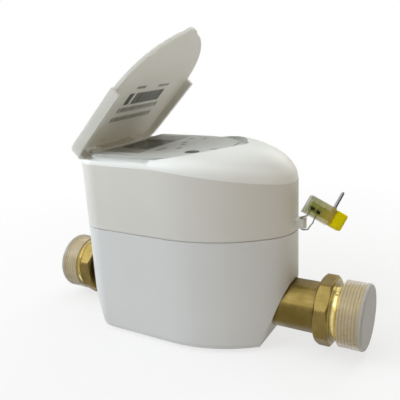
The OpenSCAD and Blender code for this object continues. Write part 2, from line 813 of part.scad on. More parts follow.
module upper_housing() {
  color([0.93, 0.94, 0.94])
    difference() {
      union() {
        difference() {
          union() {
            difference() {
              intersection() {
                plan(0, seam_z, rim_z + cut);
                under_crown();
              }
              upper_hollow();
            }
            upper_posts();
            for (x = stand_x)
              for (s = [-1, 1])
                post(x, s * stand_y, stand_d, board_top, deck_low + cut);
          }
          top_cuts();
        }
        eyelet();
        lug_webs();
      }
      for (p = post_places)
        post(p[0], p[1], post_screw_d, seam_z - cut, post_seat + post_screw_len + 2);
      for (x = stand_x)
        for (s = [-1, 1])
          post(x, s * stand_y, board_screw_d, board_top - cut, deck_low);
      translate([hinge_x, -half_w, hinge_z])
        rotate([-90, 0, 0])
          cylinder(d = pin_d, h = 2 * half_w);
      post(eyelet_x, 0, eyelet_hole, eyelet_z - cut, eyelet_z + eyelet_t + cut);
    }
}

// room inside the upper housing
module upper_hollow() {
  plan(rim_w, seam_z - cut, seam_z + rim_h);
  plan(wall, seam_z + rim_h - cut / 2, hollow_z);
  intersection() {
    plan(wall, hollow_z - cut, ceiling_hinge);
    box([-half_len, -half_w, seam_z], [0, half_w, ceiling_hinge]);
  }
  box([hinge_wall_x, -room_y, hollow_z - cut], [room_x1, room_y, deck_low]);
  box([room_x1 - cut, -board_half_w - 0.7, hollow_z - cut],
    [board_x1 + 0.6, board_half_w + 0.7, deck_low]);
  box([board_x1, -board_tongue - tongue_room, hollow_z - cut],
    [board_x2 + 2 * tongue_room, board_tongue + tongue_room, board_top + tongue_room]);
}

// posts for the housing screws, up to the roof
module upper_posts() {
  for (p = post_places)
    post(p[0], p[1], post_d, seam_z, p[0] < 0 ? ceiling_hinge + cut : hollow_z + cut);
}

// webs of the two hinge lugs
module lug_webs() {
  for (s = [-1, 1])
    translate([0, s * (lug_in + lug_w / 2), 0]) {
      translate([hinge_x, -lug_w / 2, hinge_z])
        rotate([-90, 0, 0])
          cylinder(r = knuckle_r, h = lug_w);
      translate([hinge_x - knuckle_r, -lug_w / 2, edge_z - cut])
        cube([2 * knuckle_r, lug_w, hinge_clear + cut]);
    }
}

// eyelet for the seal wire on the nose of the upper housing
module eyelet() {
  post(eyelet_x, 0, eyelet_d, eyelet_z, eyelet_z + eyelet_t);
  box([half_len - wall, -eyelet_d / 2, eyelet_z], [eyelet_x, eyelet_d / 2, eyelet_z + eyelet_t]);
}

// deck under the lid, ledge for its skirt, room round the hinge and the openings
module top_cuts() {
  over = rim_z + 2 * cut;
  leaf(-move_gap, ledge_end, deck_z, over);
  box([-half_len - cut, -half_w - cut, deck_z], [ledge_end + cut, half_w + cut, over]);
  difference() {
    box([-half_len - cut, -half_w - cut, ledge_z], [ledge_end, half_w + cut, over]);
    plan(ledge_in, ledge_z - cut, over + cut);
  }
  translate([hinge_x, -half_w - cut, hinge_z])
    rotate([-90, 0, 0])
      cylinder(r = hinge_clear, h = 2 * half_w + 2 * cut);
  box([-half_len - cut, -half_w - cut, edge_z], [hinge_x, half_w + cut, over]);
  box([lcd_x - lcd_open_x / 2, -lcd_open_y / 2, deck_low - cut],
    [lcd_x + lcd_open_x / 2, lcd_open_y / 2, deck_z + cut]);
  post(eye_x, eye_y, eye_d - 2, deck_low - cut, deck_z + cut);
}

module housing_gasket() {
  color([0.1, 0.1, 0.1])
    difference() {
      plan(groove_in + fit_gap, seam_z - gasket_h, seam_z);
      plan(groove_in + gasket_w - fit_gap, seam_z - gasket_h - cut, seam_z + cut);
    }
}

module housing_screws() {
  color([0.68, 0.69, 0.7])
    for (p = post_places)
      difference() {
        union() {
          post(p[0], p[1], post_head_d, post_seat - post_head_h, post_seat);
          post(p[0], p[1], post_screw_d, post_seat - 0.2, post_seat + post_screw_len);
        }
        translate([p[0], p[1], post_seat - post_head_h - cut])
          cylinder(d = post_head_d / 2, h = cut + post_head_h / 2, $fn = 6);
      }
}

module faceplate() {
  color([0.62, 0.64, 0.62])
    difference() {
      leaf(plate_in, plate_x0, deck_z, deck_z + plate_t);
      box([lcd_x - lcd_open_x / 2, -lcd_open_y / 2, deck_z - cut],
        [lcd_x + lcd_open_x / 2, lcd_open_y / 2, deck_z + plate_t + cut]);
      post(eye_x, eye_y, eye_d, deck_z - cut, deck_z + plate_t + cut);
    }
}

module display_window() {
  x = lcd_open_x / 2 - fit_gap;
  y = lcd_open_y / 2 - fit_gap;
  color([0.3, 0.33, 0.3, 0.5])
    box([lcd_x - x, -y, deck_z - 0.8], [lcd_x + x, y, deck_z + plate_t - 0.1]);
}

module optical_window() {
  color([0.1, 0.05, 0.06])
    union() {
      post(eye_x, eye_y, eye_d - 2 * fit_gap, deck_z, deck_z + plate_t - 0.1);
      post(eye_x, eye_y, eye_d - 2 - 2 * fit_gap, deck_z - roof_t + 0.4, deck_z + 0.2);
    }
}

module display_module() {
  x = lcd_open_x / 2 + lcd_margin;
  y = lcd_open_y / 2 + lcd_margin + 1;
  leg_t = 1.2;
  color([0.45, 0.5, 0.42])
    union() {
      box([lcd_x - x, -y, lcd_z0], [lcd_x + x, y, lcd_z1]);
      for (s = [-1, 1])
        translate([lcd_x + s * (x - leg_t), 0, 0])
          box([-leg_t / 2, -y + 1, board_top], [leg_t / 2, y - 1, lcd_z0 + fit_gap]);
    }
}

module circuit_board() {
  color([0.1, 0.35, 0.18])
    difference() {
      union() {
        box([board_x0, -board_half_w, board_z], [board_x1, board_half_w, board_top]);
        box([board_x1 - cut, -board_tongue, board_z], [board_x2, board_tongue, board_top]);
        translate([chip_at[0] - chip_size[0] / 2, chip_at[1] - chip_size[1] / 2, board_z - chip_size[2]])
          cube(chip_size + [0, 0, fit_gap]);
        translate([eye_x - head_size[0] / 2, eye_y - head_size[1] / 2, board_top - fit_gap])
          cube(head_size);
      }
      for (x = stand_x)
        for (s = [-1, 1])
          post(x, s * stand_y, board_screw_d + screw_gap, board_z - cut, board_top + cut);
      for (s = [-1, 1])
        post(s * transducer_x, lead_y, lead_d + 2 * fit_gap, board_z - cut, board_top + cut);
    }
}

module board_screws() {
  color([0.68, 0.69, 0.7])
    for (x = stand_x)
      for (s = [-1, 1])
        difference() {
          union() {
            post(x, s * stand_y, board_head_d, board_z - board_head_h, board_z);
            post(x, s * stand_y, board_screw_d, board_z - board_head_h / 4, board_top + board_grip);
          }
          translate([x, s * stand_y, board_z - board_head_h - cut])
            cylinder(d = board_head_d / 2, h = cut + board_head_h / 2, $fn = 6);
        }
}

module battery() {
  x0 = cell_x - cell_len / 2;
  tip = 1.4;
  tip_d = cell_d / 3;
  color([0.2, 0.45, 0.3])
    union() {
      translate([x0, cell_y, cell_z])
        rotate([0, 90, 0])
          cylinder(d = cell_d, h = cell_len - tip);
      translate([x0, cell_y, cell_z])
        rotate([0, 90, 0])
          cylinder(d = tip_d, h = cell_len);
    }
}

module battery_cradle() {
  x0 = cradle_x0;
  room = cell_d + 2 * fit_gap;
  color([0.85, 0.86, 0.85])
    difference() {
      box([x0, cell_y - cradle_r, cell_z - cradle_r], [x0 + cradle_len, cell_y + cradle_r, board_z]);
      translate([x0 - cut, cell_y, cell_z])
        rotate([0, 90, 0])
          cylinder(d = room, h = cradle_len + 2 * cut);
      box([x0 - cut, cell_y - room / 2, cell_z], [x0 + cradle_len + cut, cell_y + room / 2, board_z + cut]);
    }
}

module transducer_leads() {
  color([0.08, 0.08, 0.08])
    for (s = [-1, 1])
      post(s * transducer_x, lead_y, lead_d, clamp_top + cut, board_top - fit_gap);
}

// lid as it lies closed
module lid_closed() {
  difference() {
    union() {
      leaf(0, skirt_end - cut, lid_z0, lid_z1);
      difference() {
        union() {
          lid_back_outline(0, lid_z0, lid_z1);
          difference() {
            lid_back_outline(0, skirt_z0, lid_z0 + cut / 2);
            lid_back_outline(skirt_t, skirt_z0 - cut, lid_z1);
            box([skirt_end - skirt_t - cut, -lid_half_w + skirt_t, skirt_z0 - cut],
              [skirt_end + cut, lid_half_w - skirt_t, lid_z1]);
          }
        }
        for (s = [-1, 1])
          box([lid_back - cut, s * (lug_in + lug_w / 2) - lug_w / 2 - move_gap, skirt_z0 - cut],
            [hinge_x + knuckle_r + cut, s * (lug_in + lug_w / 2) + lug_w / 2 + move_gap, lid_z0]);
      }
      translate([hinge_x, -barrel_half, hinge_z])
        rotate([-90, 0, 0])
          cylinder(r = knuckle_r, h = 2 * barrel_half);
      box([hinge_x - knuckle_r / 2, -barrel_half, hinge_z],
        [hinge_x + knuckle_r / 2, barrel_half, lid_z0 + cut / 2]);
    }
    translate([hinge_x, -lug_in, hinge_z])
      rotate([-90, 0, 0])
        cylinder(d = pin_d + 2 * pin_gap, h = 2 * lug_in);
  }
}

// outline of the lid behind the leaf, set in by a distance, with round corners at the hinge
module lid_back_outline(inset, z0, z1) {
  corner_at = lid_back + lid_corner_r;
  side_y = lid_half_w - lid_corner_r;
  box([lid_back + inset, -side_y, z0], [skirt_end, side_y, z1]);
  box([corner_at, -lid_half_w + inset, z0], [skirt_end, lid_half_w - inset, z1]);
  for (s = [-1, 1])
    post(corner_at, s * side_y, 2 * (lid_corner_r - inset + proud), z0, z1);
}

module lid() {
  color([0.9, 0.9, 0.88])
    translate([hinge_x, 0, hinge_z])
      rotate([0, -lid_open, 0])
        translate([-hinge_x, 0, -hinge_z])
          lid_closed();
}

module hinge_pin() {
  color([0.7, 0.71, 0.72])
    translate([hinge_x, -lug_out, hinge_z])
      rotate([-90, 0, 0])
        cylinder(d = pin_d, h = 2 * lug_out);
}

// push-on thread cap at the seal end
module thread_cap() {
  r = cap_d / 2;
  inner = cap_in_d / 2;
  color([0.85, 0.84, 0.8, 0.7])
    translate([cap_x0, 0, axis_h])
      rotate([0, 90, 0])
        difference() {
          union() {
            cylinder(r = r, h = cap_len - cap_soft);
            cylinder(r = r - cap_soft, h = cap_len);
            translate([0, 0, cap_len - cap_soft])
              rotate_extrude()
                translate([r - cap_soft, 0])
                  circle(r = cap_soft, $fn = 24);
          }
          translate([0, 0, -cut])
            cylinder(r = inner, h = cap_len - cap_end + cut);
        }
}

module inlet_cap() {
  rotate([0, 0, 180])
    thread_cap();
}

module outlet_cap() {
  thread_cap();
}

// places the seal pieces
module at_seal() {
  translate(seal_at)
    rotate(seal_turn)
      children();
}

module seal_body() {
  half = seal_len / 2;
  color([0.75, 0.8, 0.5, 0.6])
    at_seal()
      difference() {
        box([-half, -seal_t / 2, -seal_h / 2], [half, seal_t / 2, seal_h / 2]);
        translate([-half + 2, 0, 0])
          rotate([0, 90, 0])
            cylinder(d = rotor_d + 2 * fit_gap, h = seal_len);
        for (x = wire_in)
          translate([x, 0, -seal_h / 2 - cut])
            cylinder(d = wire_d + 2 * fit_gap, h = seal_h / 2 + cut, $fn = 24);
      }
}

module seal_rotor() {
  half = seal_len / 2;
  color([0.8, 0.75, 0.08])
    at_seal()
      difference() {
        union() {
          translate([-half + 2.6, 0, 0])
            rotate([0, 90, 0])
              cylinder(d = rotor_d, h = seal_len - 2);
          box([half + 0.2, -seal_t / 2 + 0.4, -seal_h / 2 + 0.2],
            [half + rotor_head, seal_t / 2 - 0.4, seal_h / 2 - 0.2]);
        }
        box([key_x - fit_gap, -key_w / 2 - fit_gap, key_low],
          [key_x + key_t + fit_gap, key_w / 2 + fit_gap, seal_h]);
      }
}

module seal_key() {
  color([0.35, 0.36, 0.36])
    at_seal()
      box([key_x, -key_w / 2, key_low], [key_x + key_t, key_w / 2, key_low + key_len]);
}

// round wire between two points with a round start
module wire_run(a, b) {
  d = b - a;
  translate(a)
    rotate([0, acos(d[2] / norm(d)), atan2(d[1], d[0])])
      cylinder(d = wire_d, h = norm(d), $fn = 48);
  translate(a)
    sphere(d = wire_d * 1.06, $fn = 48);
}

module seal_wire() {
  color([0.6, 0.61, 0.62])
    for (k = [0 : len(wire_path) - 2])
      wire_run(wire_path[k], wire_path[k + 1]);
}

flow_tube();
measuring_insert();
inlet_mirror();
outlet_mirror();
inlet_transducer();
outlet_transducer();
transducer_o_rings();
transducer_clamp();
clamp_screws();
lower_housing();
base_cover();
base_screws();
upper_housing();
housing_gasket();
housing_screws();
faceplate();
display_window();
optical_window();
display_module();
circuit_board();
board_screws();
battery();
battery_cradle();
transducer_leads();
lid();
hinge_pin();
inlet_cap();
outlet_cap();
seal_body();
seal_rotor();
seal_key();
seal_wire();
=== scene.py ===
import json
import math

import bmesh
import bpy
from mathutils import Matrix, Vector


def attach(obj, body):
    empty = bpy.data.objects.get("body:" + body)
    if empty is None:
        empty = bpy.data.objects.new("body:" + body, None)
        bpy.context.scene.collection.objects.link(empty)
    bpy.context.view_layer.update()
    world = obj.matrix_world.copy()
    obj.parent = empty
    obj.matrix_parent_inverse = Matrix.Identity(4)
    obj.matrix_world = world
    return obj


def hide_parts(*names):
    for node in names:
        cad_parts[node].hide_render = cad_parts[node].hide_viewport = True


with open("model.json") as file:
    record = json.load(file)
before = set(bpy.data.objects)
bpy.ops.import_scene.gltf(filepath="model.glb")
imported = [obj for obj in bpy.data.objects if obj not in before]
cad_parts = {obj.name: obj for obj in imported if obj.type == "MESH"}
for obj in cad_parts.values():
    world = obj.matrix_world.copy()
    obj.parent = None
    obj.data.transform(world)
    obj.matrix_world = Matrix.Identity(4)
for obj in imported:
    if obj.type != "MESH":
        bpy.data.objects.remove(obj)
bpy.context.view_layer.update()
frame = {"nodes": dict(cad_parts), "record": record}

NODE = frame["nodes"]
MM = 0.001

# Sizes of the solids that the added pieces and the materials follow, in mm.
HALF_PIPE = 82.5
AXIS_Z = 18.0
THREAD_R = 13.22
THREAD_PITCH = 1.814
TURNED_FROM, TURNED_FULL = 69.5, 70.0
CAP_RING_PITCH = 1.36
CAP_END_FROM, CAP_END_FULL = 82.2, 83.4
HINGE = Vector((-47.5, 0.0, 88.0))
LID_OPEN = 45.0
LID_INNER_Z = 91.2
PLATE_TOP_Z = 90.2

# The edge of the crown: level up to CROWN_DROP_X, then lower towards the nose.
CROWN_EDGE_Z = 85.1
CROWN_DROP = 8.3
CROWN_DROP_X = -4.0
CROWN_NOSE_X = 50.8
CROWN_DROP_POWER = 1.35
# Heights above that edge over which the wall turns to the band, and the band to the dome.
BAND_FROM, BAND_FULL = 0.3, 0.7
DOME_FROM, DOME_FULL = 5.2, 7.5
WALL_WHITE = (0.77, 0.755, 0.722)
# The band is whiter than the dome as painted light, for its bevel lit from above.
BAND_WHITE_WITH_PAINTED_LIGHT = (0.95, 0.96, 0.95)
DOME_WHITE = (0.83, 0.84, 0.825)

# Centre and turns of the seal.
SEAL_AT = Vector((60.4, 2.2, 64.2))
SEAL_TURN = (Matrix.Rotation(math.radians(20), 3, "Z")
             @ Matrix.Rotation(math.radians(31), 3, "Y")
             @ Matrix.Rotation(math.radians(-20), 3, "X"))

# Noise of the plastics: scale of the clouds, of the gloss and of the grain, and the grain's height.
CLOUD_SCALE = 22.0
GLOSS_SCALE = 160.0
GRAIN_SCALE = 2600.0
GRAIN_HEIGHT = 0.0001


# Node helpers

def new_material(name):
    mat = bpy.data.materials.new(name)
    mat.use_nodes = True
    tree = mat.node_tree
    tree.nodes.clear()
    out = tree.nodes.new("ShaderNodeOutputMaterial")
    bsdf = tree.nodes.new("ShaderNodeBsdfPrincipled")
    tree.links.new(bsdf.outputs["BSDF"], out.inputs["Surface"])
    return mat, tree, bsdf


def put(tree, value, socket):
    """Link another node's output to the socket, or set the socket to a plain value."""
    if hasattr(value, "is_output"):
        tree.links.new(value, socket)
    else:
        socket.default_value = value


def node(tree, kind, inputs=None, **attrs):
    n = tree.nodes.new(kind)
    for key, value in attrs.items():
        setattr(n, key, value)
    for key, value in (inputs or {}).items():
        put(tree, value, n.inputs[key])
    return n


def calc(tree, operation, *values):
    """One Math node."""
    n = node(tree, "ShaderNodeMath", dict(enumerate(values)), operation=operation)
    return n.outputs["Value"]


def object_coords(tree, stretch=(1, 1, 1)):
    coords = node(tree, "ShaderNodeTexCoord").outputs["Object"]
    if stretch == (1, 1, 1):
        return coords
    mapping = node(tree, "ShaderNodeMapping", {"Vector": coords, "Scale": stretch})
    return mapping.outputs["Vector"]


def axes(tree, vector):
    return node(tree, "ShaderNodeSeparateXYZ", {"Vector": vector}).outputs


def noise(tree, scale, detail=3.0, rough=0.5, stretch=(1, 1, 1)):
    return node(tree, "ShaderNodeTexNoise", {
        "Vector": object_coords(tree, stretch), "Scale": scale,
        "Detail": detail, "Roughness": rough}).outputs["Fac"]


def spread(tree, value, lo, hi, a=0.3, b=0.7):
    """Map a to b onto lo to hi, held at both ends."""
    return node(tree, "ShaderNodeMapRange", {
        "Value": value, "From Min": a, "From Max": b, "To Min": lo, "To Max": hi}).outputs["Result"]


def blend(tree, fac, a, b):
    n = node(tree, "ShaderNodeMix", {0: fac, 6: a, 7: b}, data_type="RGBA")
    return n.outputs[2]


def rgb(c, k=1.0):
    return (c[0] * k, c[1] * k, c[2] * k, 1.0)


def edge_mask(tree, radius):
    """Rounded normal, and a mask that is 1 along sharp edges and 0 on open faces."""
    bevel = node(tree, "ShaderNodeBevel", {"Radius": radius}, samples=4).outputs["Normal"]
    flat = node(tree, "ShaderNodeNewGeometry").outputs["Normal"]
    dot = node(tree, "ShaderNodeVectorMath", {0: bevel, 1: flat}, operation="DOT_PRODUCT")
    return bevel, spread(tree, dot.outputs["Value"], 1.0, 0.0, 0.86, 0.995)


def bump(tree, height, strength, distance, normal=None):
    n = node(tree, "ShaderNodeBump", {
        "Height": height, "Strength": strength, "Distance": distance})
    if normal is not None:
        tree.links.new(normal, n.inputs["Normal"])
    return n.outputs["Normal"]


# Materials

def plastic(name, colour, rough=0.45, grain=0.05, radius=0.0005, tone=0.02, specular=0.5, thin=0.0):
    """Moulded plastic: cloudy tone, uneven gloss, fine grain and edges a little paler, partly wear
    and partly a painted highlight.

    With radius 0 the edges stay sharp; thin is the share of light that passes under the skin.
    """
    wear_and_highlight_gain = 1.05
    mat, t, b = new_material(name)
    cloud = spread(t, noise(t, CLOUD_SCALE, 4.0), 0.0, 1.0)
    base = blend(t, cloud, rgb(colour, 1 - tone), rgb(colour, 1 + tone))
    rounded = None
    if radius:
        rounded, edges = edge_mask(t, radius)
        base = blend(t, edges, base, rgb([min(1.0, c * wear_and_highlight_gain) for c in colour]))
    t.links.new(base, b.inputs["Base Color"])
    gloss = noise(t, GLOSS_SCALE, 3.0)
    t.links.new(spread(t, gloss, rough - 0.05, rough + 0.06), b.inputs["Roughness"])
    fine = noise(t, GRAIN_SCALE, 2.0)
    t.links.new(bump(t, fine, grain, GRAIN_HEIGHT, rounded), b.inputs["Normal"])
    b.inputs["Specular IOR Level"].default_value = specular
    if thin:
        b.inputs["Subsurface Weight"].default_value = thin
        b.inputs["Subsurface Radius"].default_value = (1.0, 0.98, 0.94)
        b.inputs["Subsurface Scale"].default_value = 0.004
    return mat


def crown(name):
    """Upper housing: whiter, glossier plastic above the crown edge, the warmer wall below it.

    The band along the edge and the upright walls of the recess are painted whiter than the dome:
    painted light on the band's bevel, which is lit from above, and on the recess walls, which lie
    in shade.
    """
    mat, t, b = new_material(name)
    place = axes(t, object_coords(t))
    share = spread(t, place["X"], 0.0, 1.0, CROWN_DROP_X * MM, CROWN_NOSE_X * MM)
    fall = calc(t, "POWER", share, CROWN_DROP_POWER)
    edge = calc(t, "MULTIPLY_ADD", fall, -CROWN_DROP * MM, CROWN_EDGE_Z * MM)
    above = calc(t, "SUBTRACT", place["Z"], edge)
    on_crown = spread(t, above, 0.0, 1.0, BAND_FROM * MM, BAND_FULL * MM)
    on_dome = spread(t, above, 0.0, 1.0, DOME_FROM * MM, DOME_FULL * MM)
    cloud = spread(t, noise(t, CLOUD_SCALE, 4.0), 0.0, 1.0)
    wall_tone = blend(t, cloud, rgb(WALL_WHITE, 0.98), rgb(WALL_WHITE, 1.02))
    band_painted_light_tone = blend(t, cloud, rgb(BAND_WHITE_WITH_PAINTED_LIGHT, 0.985), rgb(BAND_WHITE_WITH_PAINTED_LIGHT, 1.01))
    dome_tone = blend(t, cloud, rgb(DOME_WHITE, 0.98), rgb(DOME_WHITE, 1.02))
    facing = axes(t, node(t, "ShaderNodeTexCoord").outputs["Normal"])["Z"]
    # Painted light: upright walls of the recess, which lie in shade, take the band's brighter
    # white.
    upright = spread(t, facing, 1.0, 0.0, 0.1, 0.3)
    dome_tone = blend(t, upright, dome_tone, band_painted_light_tone)
    base = blend(t, on_crown, wall_tone, blend(t, on_dome, band_painted_light_tone, dome_tone))
    t.links.new(base, b.inputs["Base Color"])
    gloss = spread(t, on_crown, 0.0, -0.08, 0.0, 1.0)
    matt = spread(t, noise(t, GLOSS_SCALE, 3.0), 0.40, 0.52)
    t.links.new(calc(t, "ADD", matt, gloss), b.inputs["Roughness"])
    rounded, _ = edge_mask(t, 0.0002)
    fine = noise(t, GRAIN_SCALE, 2.0)
    t.links.new(bump(t, fine, 0.05, GRAIN_HEIGHT, rounded), b.inputs["Normal"])
    return mat


def brass(name):
    """Cast brass with dull stains and painted shade in its crevices, turned bright where neck and
    threads were cut.
    """
    cast_dark, cast_light = (0.140, 0.098, 0.025, 1), (0.245, 0.178, 0.057, 1)
    turned_dark, turned_light = (0.66, 0.54, 0.22, 1), (0.92, 0.79, 0.38, 1)
    worn_and_highlight_edge = (0.42, 0.33, 0.13, 1)
    crevice_shade_brown = (0.045, 0.030, 0.008, 1)
    mat, t, b = new_material(name)
    stain = spread(t, noise(t, 70.0, 5.0, 0.62), 0.0, 1.0, 0.36, 0.66)
    cast = blend(t, stain, cast_dark, cast_light)
    turned = blend(t, stain, turned_dark, turned_light)
    along = calc(t, "ABSOLUTE", axes(t, object_coords(t))["X"])
    cut = spread(t, along, 0.0, 1.0, TURNED_FROM * MM, TURNED_FULL * MM)
    base = blend(t, cut, cast, turned)
    rounded, edges = edge_mask(t, 0.0004)
    # Edges turn paler, partly wear and partly a painted highlight.
    base = blend(t, calc(t, "MULTIPLY", edges, 0.7), base, worn_and_highlight_edge)
    # Painted shade: the base colour turns dark brown in crevices and between parts, as found by
    # occlusion, except on the turned faces.
    hollow = node(t, "ShaderNodeAmbientOcclusion", {"Distance": 0.005}, samples=6).outputs["AO"]
    uncut = spread(t, cut, 1.0, 0.0, 0.0, 1.0)
    painted_crevice_shade = calc(t, "MULTIPLY", spread(t, hollow, 0.85, 0.0, 0.25, 0.75), uncut)
    t.links.new(blend(t, painted_crevice_shade, base, crevice_shade_brown), b.inputs["Base Color"])
    b.inputs["Metallic"].default_value = 1.0
    tooling = noise(t, 700.0, 4.0, 0.6, (0.25, 1, 1))
    dull = spread(t, tooling, 0.36, 0.52)
    t.links.new(calc(t, "MULTIPLY_ADD", cut, -0.24, dull), b.inputs["Roughness"])
    t.links.new(bump(t, tooling, 0.08, 0.0002, rounded), b.inputs["Normal"])
    return mat


def metal(name, colour, dark, rough=0.3, grain=0.05, radius=0.0003, stretch=(1, 1, 1), scale=900.0):
    """Metal with stains in its tone, an uneven gloss, tool marks and brighter edges, partly wear
    and partly a painted highlight.
    """
    wear_and_highlight_gain = 1.15
    mat, t, b = new_material(name)
    stain = spread(t, noise(t, 90.0, 5.0, 0.6), 0.0, 1.0, 0.38, 0.66)
    base = blend(t, stain, rgb(dark), rgb(colour))
    rounded, edges = edge_mask(t, radius)
    base = blend(t, edges, base, rgb([min(1.0, c * wear_and_highlight_gain) for c in colour]))
    t.links.new(base, b.inputs["Base Color"])
    b.inputs["Metallic"].default_value = 1.0
    tooling = noise(t, scale, 4.0, 0.6, stretch)
    t.links.new(spread(t, tooling, rough - 0.06, rough + 0.08), b.inputs["Roughness"])
    t.links.new(bump(t, tooling, grain, 0.0002, rounded), b.inputs["Normal"])
    return mat


def clear(name, colour, alpha, rough):
    """See-through plastic: part of the light passes straight on, the rest shows a cloudy body."""
    cloudiness = 0.12
    mat, t, b = new_material(name)
    haze = noise(t, 140.0, 4.0)
    rounded, edges = edge_mask(t, 0.0004)
    base = blend(t, spread(t, haze, 0.0, 1.0), rgb(colour, 0.94), rgb(colour, 1.04))
    t.links.new(base, b.inputs["Base Color"])
    gloss = noise(t, 300.0, 3.0)
    t.links.new(spread(t, gloss, rough - 0.05, rough + 0.08), b.inputs["Roughness"])
    body = spread(t, haze, alpha - cloudiness / 2, alpha + cloudiness / 2)
    body = calc(t, "MINIMUM", calc(t, "MAXIMUM", body, edges), 0.96)
    t.links.new(body, b.inputs["Alpha"])
    t.links.new(bump(t, haze, 0.04, 0.0002, rounded), b.inputs["Normal"])
    return mat


def milky_cap(name):
    """Soft milky cap: the thread shows through as rings; end wall and rim are thicker and paler."""
    ridge = (0.82, 0.69, 0.45)
    groove = (0.52, 0.40, 0.22)
    pale = (0.46, 0.455, 0.44)
    mat, t, b = new_material(name)
    along = calc(t, "ABSOLUTE", axes(t, object_coords(t))["X"])
    end = spread(t, along, 0.0, 1.0, CAP_END_FROM * MM, CAP_END_FULL * MM)
    wave = calc(t, "SINE", calc(t, "MULTIPLY", along, 2 * math.pi / (CAP_RING_PITCH * MM)))
    rings = blend(t, end, spread(t, wave, 0.0, 1.0, -0.8, 0.8), (0.5, 0.5, 0.5, 1))
    haze = noise(t, 120.0, 4.0)
    rounded, edges = edge_mask(t, 0.0006)
    base = blend(t, rings, rgb(groove), rgb(ridge))
    base = blend(t, spread(t, haze, 0.0, 0.25), base, rgb(pale))
    t.links.new(blend(t, end, base, rgb(pale)), b.inputs["Base Color"])
    body = calc(t, "MULTIPLY_ADD", end, 0.5, spread(t, haze, 0.46, 0.58))
    body = calc(t, "MULTIPLY_ADD", edges, 0.3, body)
    t.links.new(calc(t, "MINIMUM", body, 0.97), b.inputs["Alpha"])
    gloss = spread(t, noise(t, 260.0, 3.0), 0.22, 0.34)
    t.links.new(calc(t, "MULTIPLY_ADD", end, 0.2, gloss), b.inputs["Roughness"])
    t.links.new(bump(t, rings, 0.12, 0.0003, rounded), b.inputs["Normal"])
    return mat


def along_seal(t):
    """Place along the length of the seal, in metres from its centre."""
    axis = SEAL_TURN @ Vector((1, 0, 0))
    dot = node(t, "ShaderNodeVectorMath", {0: object_coords(t), 1: axis}, operation="DOT_PRODUCT")
    return calc(t, "SUBTRACT", dot.outputs["Value"], axis.dot(SEAL_AT) * MM)


def seal_body_clear(name):
    """Clear seal body: greenish grey, tinted yellow towards the rotor head."""
    grey_dark, grey_light = (0.21, 0.23, 0.012, 1), (0.38, 0.39, 0.045, 1)
    yellowish = (0.56, 0.43, 0.035, 1)
    pale_edge_sheen = (0.46, 0.44, 0.30, 1)
    mat, t, b = new_material(name)
    haze = noise(t, 220.0, 4.0)
    rounded, edges = edge_mask(t, 0.0004)
    grey = blend(t, spread(t, haze, 0.0, 1.0), grey_dark, grey_light)
    near_head = spread(t, along_seal(t), 0.0, 1.0, -0.0010, 0.0045)
    base = blend(t, near_head, grey, yellowish)
    # Painted sheen: the edges of the clear body turn paler.
    t.links.new(blend(t, edges, base, pale_edge_sheen), b.inputs["Base Color"])
    t.links.new(spread(t, noise(t, 300.0, 3.0), 0.10, 0.22), b.inputs["Roughness"])
    body = spread(t, haze, 0.54, 0.70)
    t.links.new(calc(t, "MULTIPLY_ADD", edges, 0.3, body), b.inputs["Alpha"])
    t.links.new(bump(t, haze, 0.05, 0.0002, rounded), b.inputs["Normal"])
    return mat


def seal_core(name):
    """Rotor of the seal: a yellow head, and a shaft that looks olive inside the clear body."""
    olive_dark, olive_light = (0.20, 0.22, 0.006, 1), (0.48, 0.44, 0.010, 1)
    yellow_dark, yellow_light = (0.77, 0.645, 0.002, 1), (0.89, 0.75, 0.003, 1)
    mat, t, b = new_material(name)
    cloud = noise(t, 260.0, 4.0)
    olive = blend(t, spread(t, cloud, 0.0, 1.0, 0.35, 0.65), olive_dark, olive_light)
    soft = spread(t, noise(t, 90.0, 4.0), 0.0, 1.0)
    yellow = blend(t, soft, yellow_dark, yellow_light)
    near_head = spread(t, along_seal(t), 0.0, 1.0, 0.0012, 0.0034)
    t.links.new(blend(t, near_head, olive, yellow), b.inputs["Base Color"])
    t.links.new(spread(t, cloud, 0.36, 0.48), b.inputs["Roughness"])
    b.inputs["Specular IOR Level"].default_value = 0.1
    rounded, _ = edge_mask(t, 0.0004)
    fine = noise(t, 1800.0, 2.0)
    t.links.new(bump(t, fine, 0.05, GRAIN_HEIGHT, rounded), b.inputs["Normal"])
    return mat


